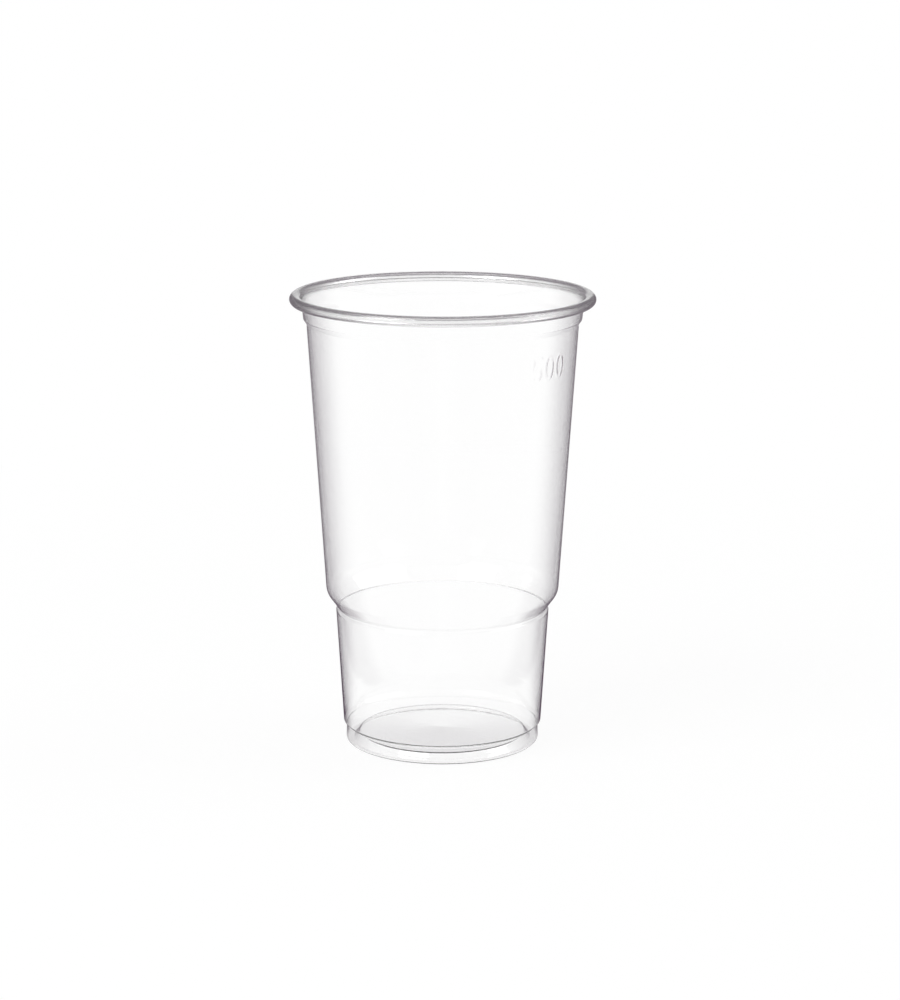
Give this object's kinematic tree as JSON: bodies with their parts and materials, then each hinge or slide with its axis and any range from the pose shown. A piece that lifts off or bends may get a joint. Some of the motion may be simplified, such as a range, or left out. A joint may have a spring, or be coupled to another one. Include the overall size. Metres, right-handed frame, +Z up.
{
  "type": "disposable cup",
  "caption": "Clear plastic disposable cup with a rolled rim, a stepped collar, a shoulder and a groove above a narrower lower wall, a stacking foot and a raised base panel.",
  "frame": {"origin": "centre of the cup's footprint, on the table", "axes": "+Z up along the cup's axis, towards the rim; the cup is round, so +X and +Y are free"},
  "size_m": [0.095, 0.095, 0.143],
  "materials": {
    "clear_plastic": "thermoformed clear polypropylene, smooth and glossy"
  },
  "bodies": {
    "root": {"cup": "clear_plastic"}
  },
  "joints": []
}
